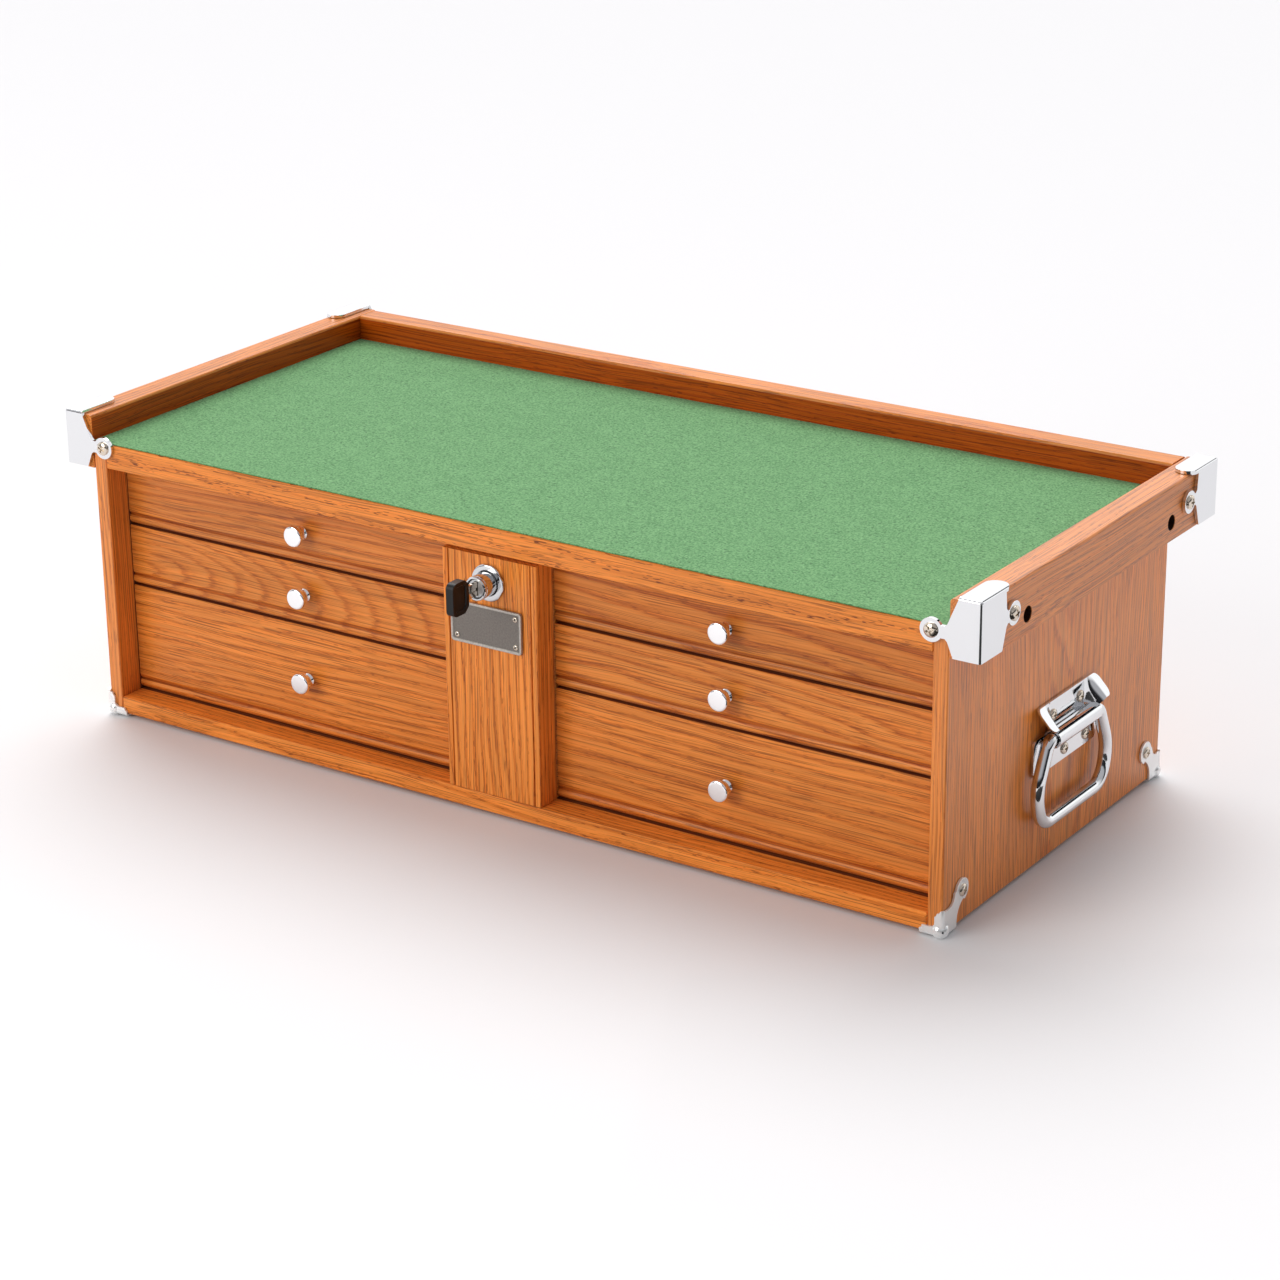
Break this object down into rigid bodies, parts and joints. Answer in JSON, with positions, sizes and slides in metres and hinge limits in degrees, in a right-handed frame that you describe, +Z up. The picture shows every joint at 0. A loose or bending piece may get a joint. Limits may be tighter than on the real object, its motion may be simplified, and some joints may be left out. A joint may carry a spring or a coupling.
{
  "type": "tool chest riser",
  "caption": "Low oak riser for a tool chest: drawers behind a keyed lock bar, a railed felt top, chromed corners and swinging side handles.",
  "frame": {"origin": "middle of the bottom of the bounding box, on the floor under the corner brackets", "axes": "+X to the right along the width, +Y to the back, +Z up; the drawers open towards -Y"},
  "size_m": [0.7092, 0.3566, 0.2195],
  "materials": {
    "oak": "satin varnish",
    "drawer_wood": "plain sanded",
    "felt": "napped felt",
    "chrome": "polished plate",
    "knob_chrome": "polished plate",
    "lock_metal": "polished plate",
    "key_plastic": "moulded"
  },
  "bodies": {
    "case": {"left_side_panel": "oak", "right_side_panel": "oak", "bottom_panel": "oak", "top_panel": "oak", "back_panel": "oak", "left_partition": "oak", "right_partition": "oak", "felt_top": "felt", "left_rail": "oak", "right_rail": "oak", "back_rail": "oak", "front_left_cap": "chrome", "front_right_cap": "chrome", "rear_left_cap": "chrome", "rear_right_cap": "chrome", "front_left_bracket": "chrome", "front_right_bracket": "chrome", "rear_left_bracket": "chrome", "rear_right_bracket": "chrome", "left_middle_inner_runner": "drawer_wood", "left_middle_outer_runner": "drawer_wood", "left_upper_inner_runner": "drawer_wood", "left_upper_outer_runner": "drawer_wood", "right_middle_inner_runner": "drawer_wood", "right_middle_outer_runner": "drawer_wood", "right_upper_inner_runner": "drawer_wood", "right_upper_outer_runner": "drawer_wood", "left_handle_plate": "chrome", "right_handle_plate": "chrome"},
    "left_lower_drawer": {"left_lower_front": "oak", "left_lower_box": "drawer_wood", "left_lower_liner": "felt", "left_lower_knob": "knob_chrome"},
    "left_middle_drawer": {"left_middle_front": "oak", "left_middle_box": "drawer_wood", "left_middle_liner": "felt", "left_middle_knob": "knob_chrome"},
    "left_upper_drawer": {"left_upper_front": "oak", "left_upper_box": "drawer_wood", "left_upper_liner": "felt", "left_upper_knob": "knob_chrome"},
    "right_lower_drawer": {"right_lower_front": "oak", "right_lower_box": "drawer_wood", "right_lower_liner": "felt", "right_lower_knob": "knob_chrome"},
    "right_middle_drawer": {"right_middle_front": "oak", "right_middle_box": "drawer_wood", "right_middle_liner": "felt", "right_middle_knob": "knob_chrome"},
    "right_upper_drawer": {"right_upper_front": "oak", "right_upper_box": "drawer_wood", "right_upper_liner": "felt", "right_upper_knob": "knob_chrome"},
    "left_bail": {"left_bail": "chrome"},
    "right_bail": {"right_bail": "chrome"},
    "lock_bar": {"lock_bar": "oak", "lock_bezel": "lock_metal"},
    "lock_plunger": {"lock_cylinder": "lock_metal"},
    "lock_key": {"lock_plug": "lock_metal", "key": "key_plastic"}
  },
  "joints": [
    {"name": "left_lower_slide", "type": "slide", "parent": "case", "child": "left_lower_drawer", "axis": [0, -1, 0], "range_m": [0, 0.17]},
    {"name": "left_middle_slide", "type": "slide", "parent": "case", "child": "left_middle_drawer", "axis": [0, -1, 0], "range_m": [0, 0.17]},
    {"name": "left_upper_slide", "type": "slide", "parent": "case", "child": "left_upper_drawer", "axis": [0, -1, 0], "range_m": [0, 0.17]},
    {"name": "right_lower_slide", "type": "slide", "parent": "case", "child": "right_lower_drawer", "axis": [0, -1, 0], "range_m": [0, 0.17]},
    {"name": "right_middle_slide", "type": "slide", "parent": "case", "child": "right_middle_drawer", "axis": [0, -1, 0], "range_m": [0, 0.17]},
    {"name": "right_upper_slide", "type": "slide", "parent": "case", "child": "right_upper_drawer", "axis": [0, -1, 0], "range_m": [0, 0.17]},
    {"name": "left_bail_swing", "type": "hinge", "parent": "case", "child": "left_bail", "pos_m": [-0.3376, 0.0122, 0.0877], "axis": [0, 1, 0], "range_deg": [0, 90]},
    {"name": "right_bail_swing", "type": "hinge", "parent": "case", "child": "right_bail", "pos_m": [0.3376, 0.0122, 0.0877], "axis": [0, -1, 0], "range_deg": [0, 90]},
    {"name": "lock_bar_lift", "type": "slide", "parent": "case", "child": "lock_bar", "axis": [0, 0, 1], "range_m": [0, 0.0022]},
    {"name": "lock_push", "type": "slide", "parent": "lock_bar", "child": "lock_plunger", "axis": [0, 1, 0], "range_m": [0, 0.012]},
    {"name": "key_turn", "type": "hinge", "parent": "lock_plunger", "child": "lock_key", "pos_m": [0, -0.137, 0.1617], "axis": [0, 1, 0], "range_deg": [0, 90]}
  ]
}
